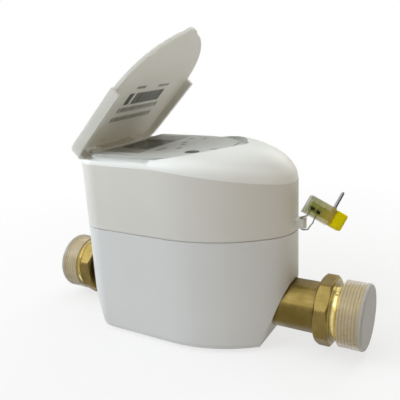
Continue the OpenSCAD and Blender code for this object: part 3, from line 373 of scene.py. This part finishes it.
MATERIAL = {
    "housing_white": plastic("housing_plastic", (0.768, 0.775, 0.785), 0.46, 0.06, 0.0003),
    "crown_white": crown("crown_plastic"),
    "cover_white": plastic("cover_plastic", (0.70, 0.705, 0.70), 0.5, 0.08, 0.0005),
    "lid_white": plastic("lid_plastic", (0.72, 0.715, 0.675), 0.44, 0.02, 0.0, thin=0.5),
    "faceplate_grey": plastic("faceplate_film", (0.56, 0.575, 0.555), 0.38, 0.03, 0.0003),
    "window_smoke": clear("window_plastic", (0.07, 0.075, 0.06), 0.45, 0.12),
    "display_grey": plastic("display_glass", (0.24, 0.25, 0.20), 0.16, 0.01, 0.0003),
    "optical_dark": plastic("optical_lens", (0.035, 0.03, 0.03), 0.3, 0.01, 0.0003, specular=0.12),
    "insert_black": plastic("insert_plastic", (0.03, 0.03, 0.032), 0.5, 0.08),
    "stainless": metal("mirror_steel", (0.70, 0.71, 0.72), (0.55, 0.56, 0.57), 0.12, 0.02),
    "transducer_dark": plastic("transducer_plastic", (0.05, 0.05, 0.055), 0.48, 0.08),
    "steel": metal("screw_steel", (0.62, 0.62, 0.60), (0.42, 0.42, 0.42), 0.3, 0.05),
    "rubber_black": plastic("seal_rubber", (0.02, 0.02, 0.02), 0.7, 0.12),
    "board_green": plastic("board_mask", (0.03, 0.14, 0.05), 0.3, 0.06, 0.0002),
    "battery_green": plastic("battery_sleeve", (0.06, 0.22, 0.11), 0.3, 0.04),
    "cradle_white": plastic("cradle_plastic", (0.66, 0.67, 0.66), 0.5, 0.08),
    "lead_black": plastic("lead_rubber", (0.02, 0.02, 0.022), 0.5, 0.08),
    "cap_milky": milky_cap("cap_polythene"),
    "seal_clear": seal_body_clear("seal_clear_plastic"),
    "seal_yellow": seal_core("seal_rotor_plastic"),
    "seal_grey": metal("key_metal", (0.50, 0.51, 0.50), (0.26, 0.27, 0.27), 0.34, 0.05),
    "wire_steel": metal("wire_steel", (0.36, 0.35, 0.31), (0.20, 0.20, 0.18), 0.36, 0.2, 0.0001,
                        stretch=(1, 1, 6), scale=2500.0),
    "brass": brass("tube_brass"),
}
INK = plastic("print_ink", (0.115, 0.12, 0.10), 0.5, 0.03, 0.0001, 0.2)
PALE_INK = plastic("pale_ink", (0.115, 0.12, 0.11), 0.5, 0.03, 0.0001, 0.15)
FRAME_INK = plastic("frame_ink", (0.30, 0.31, 0.285), 0.42, 0.03, 0.0001, 0.04)
# Near-black metal for the narrow faces of the key blade: painted shade.
KEY_EDGE_PAINTED_SHADE = metal("key_edge_painted_shade", (0.10, 0.10, 0.095), (0.05, 0.05, 0.05), 0.42, 0.05)
KNOT = plastic("knot_wire", (0.010, 0.013, 0.002), 0.6, 0.1, 0.0001, 0.3, specular=0.1)

for sub in frame["record"]["subparts"]:
    obj = NODE[sub["node"]]
    obj.data.materials.clear()
    obj.data.materials.append(MATERIAL[sub["material_slot"]])
    for poly in obj.data.polygons:
        poly.material_index = 0


# Smooth shading across the small facets of the moulded housings, with their real edges kept

WELD = 2e-6


def smooth_by_angle(obj, degrees):
    tree = bpy.data.node_groups.new("smooth_" + obj.name, "GeometryNodeTree")
    for way in ("INPUT", "OUTPUT"):
        tree.interface.new_socket("Geometry", in_out=way, socket_type="NodeSocketGeometry")
    start = tree.nodes.new("NodeGroupInput")
    end = tree.nodes.new("NodeGroupOutput")
    merge = node(tree, "GeometryNodeMergeByDistance", {
        "Geometry": start.outputs[0], "Distance": WELD})
    bare = node(tree, "GeometryNodeRemoveAttribute", {
        "Geometry": merge.outputs[0], "Name": "custom_normal"})
    faces = node(tree, "GeometryNodeSetShadeSmooth", {
        "Geometry": bare.outputs[0], "Shade Smooth": True}, domain="FACE")
    angle = node(tree, "GeometryNodeInputMeshEdgeAngle").outputs["Unsigned Angle"]
    sharp = node(tree, "FunctionNodeCompare", {0: angle, 1: math.radians(degrees)},
                 operation="GREATER_THAN")
    edges = node(tree, "GeometryNodeSetShadeSmooth", {
        "Geometry": faces.outputs[0], "Selection": sharp.outputs[0], "Shade Smooth": False},
        domain="EDGE")
    tree.links.new(edges.outputs[0], end.inputs[0])
    obj.modifiers.new("smooth", "NODES").node_group = tree


smooth_by_angle(NODE["upper_housing"], 24)
smooth_by_angle(NODE["lower_housing"], 28)


# Mesh helpers

def link(name, data):
    obj = bpy.data.objects.new(name, data)
    bpy.context.scene.collection.objects.link(obj)
    return obj


def solid_mesh(name, verts, faces):
    """Mesh from points in mm, with its faces turned outwards."""
    mesh = bpy.data.meshes.new(name)
    mesh.from_pydata([[c * MM for c in v] for v in verts], [], faces)
    bm = bmesh.new()
    bm.from_mesh(mesh)
    bmesh.ops.recalc_face_normals(bm, faces=bm.faces)
    bm.to_mesh(mesh)
    bm.free()
    return mesh


def smooth_mesh(mesh, degrees):
    mesh.shade_smooth()
    mesh.set_sharp_from_angle(angle=math.radians(degrees))


def piece(name, verts, faces, mat, body, smooth=30):
    mesh = solid_mesh(name, verts, faces)
    if smooth:
        smooth_mesh(mesh, smooth)
    mesh.materials.append(mat)
    obj = link(name, mesh)
    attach(obj, body)
    return obj


def slabs(boxes, z0, z1):
    """Points and faces of upright boxes, each given as x0, y0, x1, y1."""
    verts, faces = [], []
    for x0, y0, x1, y1 in boxes:
        k = len(verts)
        corners = ((x0, y0), (x1, y0), (x1, y1), (x0, y1))
        verts += [(x, y, z) for z in (z0, z1) for x, y in corners]
        faces += [(k, k + 1, k + 2, k + 3), (k + 4, k + 5, k + 6, k + 7)]
        faces += [(k + i, k + (i + 1) % 4, k + 4 + (i + 1) % 4, k + 4 + i) for i in range(4)]
    return verts, faces


# Brass tube: the solid with a real pipe thread cut into both ends

def thread_cutter(name, sign):
    depth, half_width, over = 1.05, 0.84, 0.15
    steps = 64
    start, stop = HALF_PIPE - 10.9, HALF_PIPE + 1.2
    n = int((stop - start) / THREAD_PITCH * steps)
    outer = THREAD_R + over
    section = ((THREAD_R - depth, 0.0), (outer, half_width), (outer, -half_width))
    verts = []
    for k in range(n + 1):
        a = 2 * math.pi * k / steps
        x = start + THREAD_PITCH * k / steps
        for r, dx in section:
            verts.append((sign * (x + dx), sign * r * math.cos(a), r * math.sin(a) + AXIS_Z))
    faces = []
    for k in range(n):
        for j in range(3):
            p, q = 3 * k + j, 3 * k + (j + 1) % 3
            faces.append((p, q, q + 3, p + 3))
    faces += [(0, 1, 2), (3 * n, 3 * n + 2, 3 * n + 1)]
    return link(name, solid_mesh(name, verts, faces))


def welded_copy(src, name):
    mesh = src.data.copy()
    mesh.name = name
    bm = bmesh.new()
    bm.from_mesh(mesh)
    bmesh.ops.remove_doubles(bm, verts=bm.verts, dist=WELD)
    bm.to_mesh(mesh)
    bm.free()
    if "custom_normal" in mesh.attributes:
        mesh.attributes.remove(mesh.attributes["custom_normal"])
    return link(name, mesh)


def threaded_tube():
    tube = welded_copy(NODE["flow_tube"], "flow_tube_threaded")
    cutters = [thread_cutter("cutter_in", -1), thread_cutter("cutter_out", 1)]
    for c in cutters:
        mod = tube.modifiers.new(c.name, "BOOLEAN")
        mod.operation = "DIFFERENCE"
        mod.solver = "EXACT"
        mod.object = c
    bpy.context.view_layer.update()
    cut_tube = tube.evaluated_get(bpy.context.evaluated_depsgraph_get())
    mesh = bpy.data.meshes.new_from_object(cut_tube)
    tube.modifiers.clear()
    tube.data = mesh
    for c in cutters:
        bpy.data.objects.remove(c)
    mesh.materials.clear()
    mesh.materials.append(MATERIAL["brass"])
    smooth_mesh(mesh, 30)
    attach(tube, "meter")
    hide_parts("flow_tube")


threaded_tube()


# Print on the inner face of the lid: a block, plain stripes and rows of plain bars,
# in mm on the closed lid

LID_BLOCK = (-17.8, -15.8, -10.4, -12.4)
STRIPE_X = (-18.0, -10.6)
STRIPE_FROM, STRIPE_LAST, STRIPE_END = -10.2, 13.2, 13.9
STRIPE_WIDTHS = (0.8, 1.3, 0.7, 1.9, 0.9, 1.2)
STRIPE_GAPS = (0.22, 0.34, 0.18)
# x, first y, height, pitch, number of bars and width of the pen of each row.
LID_ROWS = (
    (-23.0, -16.8, 3.2, 2.34, 14, 0.62),
    (-29.5, -17.0, 3.2, 2.34, 14, 0.62),
    (-7.7, -13.5, 1.7, 1.06, 7, 0.34),
    (-8.3, 4.4, 1.7, 1.16, 8, 0.34),
)
BAR_WIDTHS = (1.5, 2.3, 1.9)


def lid_place(v):
    """A point of the closed lid, where it lies with the lid open as at rest."""
    turn = Matrix.Rotation(math.radians(-LID_OPEN), 3, "Y")
    return turn @ (Vector(v) - HINGE) + HINGE


def bars(x, y, height, pitch, count, pen):
    """Row of plain bars along y, in three widths."""
    starts = [y + i * pitch for i in range(count)]
    return [(x, y0, x + height, y0 + pen * BAR_WIDTHS[i % 3]) for i, y0 in enumerate(starts)]


def lid_print():
    boxes = [LID_BLOCK]
    y = STRIPE_FROM
    k = 0
    while y < STRIPE_LAST:
        width = STRIPE_WIDTHS[k % 6]
        boxes.append((STRIPE_X[0], y, STRIPE_X[1], min(y + width, STRIPE_END)))
        y += width + STRIPE_GAPS[k % 3]
        k += 1
    for row in LID_ROWS:
        boxes += bars(*row)
    verts, faces = slabs(boxes, LID_INNER_Z - 0.03, LID_INNER_Z + 0.3)
    piece("lid_print", [lid_place(v) for v in verts], faces, INK, "lid", smooth=0)


lid_print()


# Print on the faceplate: a darker frame beside the display and rows of plain bars, in mm

PLATE_FRAME = (
    (-37.9, -22.0, -17.3, -12.05),
    (-37.9, 12.05, -17.3, 24.5),
    (-18.45, -12.05, -17.3, 12.05),
)
# x, first y, last y and number of bars of each row.
PLATE_ROWS = (
    (-12.6, -14.0, -6.4, 6),
    (-5.8, -8.2, -3.0, 5),
    (-8.6, 0.8, 5.0, 4),
    (-13.4, 16.6, 20.4, 4),
    (-6.4, 18.4, 23.0, 4),
    (-11.0, 6.0, 10.5, 4),
)
BAR_SHARE = 0.72
# First bar, step to the next one and number of bars of each line.
PLATE_LINES = (
    ((11.0, -5.0, 11.7, -3.0), (1.15, 0.25), 6),
    ((18.0, 1.0, 19.1, 2.0), (-0.25, 1.8), 8),
)


def plate_print():
    rows = []
    for x, y0, y1, n in PLATE_ROWS:
        step = (y1 - y0) / n
        for i in range(n):
            low, high = y0 + i * step, y0 + (i + BAR_SHARE) * step
            rows.append((x - 0.5, low, x + 0.5, high))
            if i % 2:
                rows.append((x + 0.9, low, x + 1.7, high))
    lines = []
    for (x0, y0, x1, y1), (dx, dy), n in PLATE_LINES:
        lines += [(x0 + dx * i, y0 + dy * i, x1 + dx * i, y1 + dy * i) for i in range(n)]
    for name, boxes, ink in (("faceplate_frame", PLATE_FRAME, FRAME_INK),
                             ("faceplate_print", rows, PALE_INK),
                             ("faceplate_line", lines, PALE_INK)):
        verts, faces = slabs(boxes, PLATE_TOP_Z - 0.3, PLATE_TOP_Z + 0.02)
        piece(name, verts, faces, ink, "meter", smooth=0)


plate_print()


# Seal: rotor with a rounded head, thin key blade with a round tip, and two dark knots of wire
# in the clear body, in mm along the seal's own axes

HEAD_LOW, HEAD_HIGH = Vector((6.3, -2.8, -3.9)), Vector((12.1, 2.8, 3.9))
HEAD_ROUND = 1.0
SHAFT_X = (-3.5, 6.6)
SHAFT_R = 2.2
KEY_X = (5.15, 5.85)
KEY_Y = (-1.8, 2.0)
KEY_Z = (-0.8, 12.3)
KNOT_AT = {"seal_winding_a": (-4.2, -1.9, -1.0), "seal_winding_b": (-1.4, -1.9, -1.3)}
KNOT_R = 0.95
KNOT_WIRE_R = 0.62
KNOT_TURNS = 1.6
KNOT_PITCH = 0.9


def on_seal(v):
    return SEAL_TURN @ Vector(v) + SEAL_AT


def seal_rotor():
    bm = bmesh.new()
    bmesh.ops.create_cube(bm, size=1.0)
    for v in bm.verts:
        v.co = [(l + h) / 2 + c * (h - l) for l, h, c in zip(HEAD_LOW, HEAD_HIGH, v.co)]
    bmesh.ops.bevel(bm, geom=list(bm.edges), offset=HEAD_ROUND, segments=4, profile=0.5,
                    affect="EDGES")
    verts = [on_seal(v.co) for v in bm.verts]
    faces = [tuple(v.index for v in f.verts) for f in bm.faces]
    bm.free()
    sides = 40
    first, last = len(verts), len(verts) + sides
    turns = [2 * math.pi * i / sides for i in range(sides)]
    for x in SHAFT_X:
        verts += [on_seal((x, SHAFT_R * math.cos(a), SHAFT_R * math.sin(a))) for a in turns]
    for i in range(sides):
        j = (i + 1) % sides
        faces.append((first + i, first + j, last + j, last + i))
    faces += [tuple(range(first, last)), tuple(range(last, last + sides))]
    obj = piece("seal_rotor_soft", verts, faces, MATERIAL["seal_yellow"], "seal",
                smooth=50)
    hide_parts("seal_rotor")


def seal_key():
    (y0, y1), (low, high) = KEY_Y, KEY_Z
    mid, r = (y0 + y1) / 2, (y1 - y0) / 2
    tip = [math.pi * k / 16 for k in range(17)]
    outline = [(y0, low)]
    outline += [(mid - r * math.cos(a), high - r + r * math.sin(a)) for a in tip]
    outline.append((y1, low))
    n = len(outline)
    verts = [on_seal((x, y, z)) for x in KEY_X for y, z in outline]
    faces = [tuple(range(n)), tuple(range(n, 2 * n))]
    faces += [(i, (i + 1) % n, n + (i + 1) % n, n + i) for i in range(n)]
    obj = piece("seal_key_blade", verts, faces, MATERIAL["seal_grey"], "seal",
                smooth=30)
    # Painted shade: every narrow face round the blade gets the near-black metal, for the blade's
    # shaded front face.
    obj.data.materials.append(KEY_EDGE_PAINTED_SHADE)
    for poly in obj.data.polygons:
        poly.material_index = 1 if len(poly.vertices) == 4 else 0
    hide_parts("seal_key")


def wire_knot(name, at):
    steps, sides = 28, 8
    n = int(KNOT_TURNS * steps)
    axis = Vector((1, 0, 0))
    verts, faces = [], []
    for i in range(n + 1):
        a = 2 * math.pi * i / steps
        out = Vector((0, math.cos(a), math.sin(a)))
        centre = Vector(at) + KNOT_PITCH * i / steps * axis + KNOT_R * out
        for j in range(sides):
            b = 2 * math.pi * j / sides
            verts.append(on_seal(centre + KNOT_WIRE_R * (math.cos(b) * out + math.sin(b) * axis)))
    for i in range(n):
        here, there = i * sides, (i + 1) * sides
        for j in range(sides):
            k = (j + 1) % sides
            faces.append((here + j, here + k, there + k, there + j))
    faces += [tuple(range(sides)), tuple(n * sides + j for j in reversed(range(sides)))]
    piece(name, verts, faces, KNOT, "seal", smooth=60)


seal_rotor()
seal_key()
for knot_name, knot_at in KNOT_AT.items():
    wire_knot(knot_name, knot_at)


# Stage: pale floor, white surround, soft light and the camera, in metres

FLOOR_HALF = 3.0
FLOOR_Z = -0.0003
# Distances from the middle over which the floor turns from paper with a shadow to plain white.
PAPER_TO, WHITE_FROM = 0.08, 0.30
PAPER_GLOW = 0.72

SURROUND_LEVEL = 0.08
SURROUND_TINT = (1.0, 0.85, 0.58, 1)
BACK_DARKER = -0.30

LAMP_AIM = (0.0, 0.0, 0.06)
# Name, place, size, power and colour of each lamp.
LAMPS = (
    ("key", (-0.49, -0.54, 0.73), (0.6, 0.6), 5.05, (0.87, 0.945, 1.0)),
    ("top", (0.0, 0.0, 0.95), (0.8, 0.8), 2.2, (0.97, 1.0, 1.0)),
    ("top_fill", (0.0, 0.0, 0.96), (0.8, 0.8), 1.8, (0.97, 1.0, 1.0)),
    ("left", (-0.95, -0.15, 0.40), (0.6, 0.6), 3.0, (1.0, 0.98, 0.97)),
    ("back", (0.25, 0.85, 0.60), (0.7, 0.6), 3.0, (1.0, 1.0, 0.94)),
    ("right", (0.88, -0.28, 0.32), (0.6, 0.6), 0.68, (1.0, 0.66, 0.20)),
)
NOT_IN_GLOSS = ("top_fill",)

# Camera fitted to the photo: focal length in pixels of a picture 400 wide, place and axes.
PICTURE_PX = 400.0
FOCAL_PX = 519.226
SENSOR_MM = 36.0
CAMERA_AT = (0.126216, -0.211026, 0.135359)
CAMERA_RIGHT = (0.86691, 0.49589, -0.05071)
CAMERA_UP = (-0.0975, 0.26845, 0.95835)
CAMERA_BACK = (0.48884, -0.82585, 0.28107)


def seen_share(tree, path):
    """1 for what the camera sees straight on, through clear parts or in gloss, else 0."""
    seen = calc(tree, "MAXIMUM", path["Is Camera Ray"], path["Is Transmission Ray"])
    return calc(tree, "MAXIMUM", seen, path["Is Glossy Ray"])


def add_floor():
    mesh = bpy.data.meshes.new("floor")
    s = FLOOR_HALF
    corners = [(-s, -s, FLOOR_Z), (s, -s, FLOOR_Z), (s, s, FLOOR_Z), (-s, s, FLOOR_Z)]
    mesh.from_pydata(corners, [], [(0, 1, 2, 3)])
    floor = link("floor", mesh)
    mat, t, b = new_material("floor_paper")
    cloud = spread(t, noise(t, 6.0, 3.0), 0.0, 1.0)
    t.links.new(blend(t, cloud, rgb((0.80, 0.80, 0.80)), rgb((0.82, 0.82, 0.82))),
                b.inputs["Base Color"])
    b.inputs["Roughness"].default_value = 0.9
    b.inputs["Specular IOR Level"].default_value = 0.1
    glow = node(t, "ShaderNodeEmission", {"Color": (1, 1, 1, 1), "Strength": 1.0})
    seen = seen_share(t, node(t, "ShaderNodeLightPath").outputs)
    away = node(t, "ShaderNodeVectorMath", {0: object_coords(t)}, operation="LENGTH")
    paper = spread(t, away.outputs["Value"], PAPER_GLOW, 1.0, PAPER_TO, WHITE_FROM)
    mix = node(t, "ShaderNodeMixShader", {
        0: calc(t, "MULTIPLY", seen, paper), 1: b.outputs["BSDF"], 2: glow.outputs["Emission"]})
    out = next(n for n in t.nodes if n.bl_idname == "ShaderNodeOutputMaterial")
    t.links.new(mix.outputs["Shader"], out.inputs["Surface"])
    mesh.materials.append(mat)


def add_surround():
    """White where it is seen, a weak warm light on the object, darker behind it in gloss."""
    world = bpy.data.worlds.new("surround")
    bpy.context.scene.world = world
    world.use_nodes = True
    w = world.node_tree
    w.nodes.clear()
    path = node(w, "ShaderNodeLightPath").outputs
    seen = seen_share(w, path)
    level = spread(w, seen, SURROUND_LEVEL, 1.0, 0.0, 1.0)
    tint = blend(w, seen, SURROUND_TINT, (1, 1, 1, 1))
    way = axes(w, node(w, "ShaderNodeTexCoord").outputs["Generated"])
    darker = spread(w, way["Y"], 0.0, BACK_DARKER, 0.2, 0.8)
    level = calc(w, "MULTIPLY_ADD", path["Is Glossy Ray"], darker, level)
    back = node(w, "ShaderNodeBackground", {"Color": tint, "Strength": level})
    end = node(w, "ShaderNodeOutputWorld")
    w.links.new(back.outputs["Background"], end.inputs["Surface"])


def add_lamps():
    for name, at, size, power, colour in LAMPS:
        lamp = bpy.data.lights.new(name, "AREA")
        lamp.shape = "RECTANGLE"
        lamp.size, lamp.size_y = size
        lamp.energy = power
        lamp.color = colour
        obj = link(name, lamp)
        obj.location = at
        obj.rotation_mode = "QUATERNION"
        obj.rotation_quaternion = (Vector(LAMP_AIM) - Vector(at)).to_track_quat("-Z", "Y")
        if name in NOT_IN_GLOSS:
            obj.visible_glossy = False


def add_camera():
    cam = bpy.data.cameras.new("camera")
    cam.sensor_width = SENSOR_MM
    cam.lens = FOCAL_PX * SENSOR_MM / PICTURE_PX
    cam.clip_start = 0.01
    cam.clip_end = 20.0
    eye = link("camera", cam)
    rows = list(zip(CAMERA_RIGHT, CAMERA_UP, CAMERA_BACK, CAMERA_AT))
    eye.matrix_world = Matrix(rows + [(0, 0, 0, 1)])
    bpy.context.scene.camera = eye


add_floor()
add_surround()
add_lamps()
add_camera()
bpy.context.scene.view_settings.view_transform = "Standard"
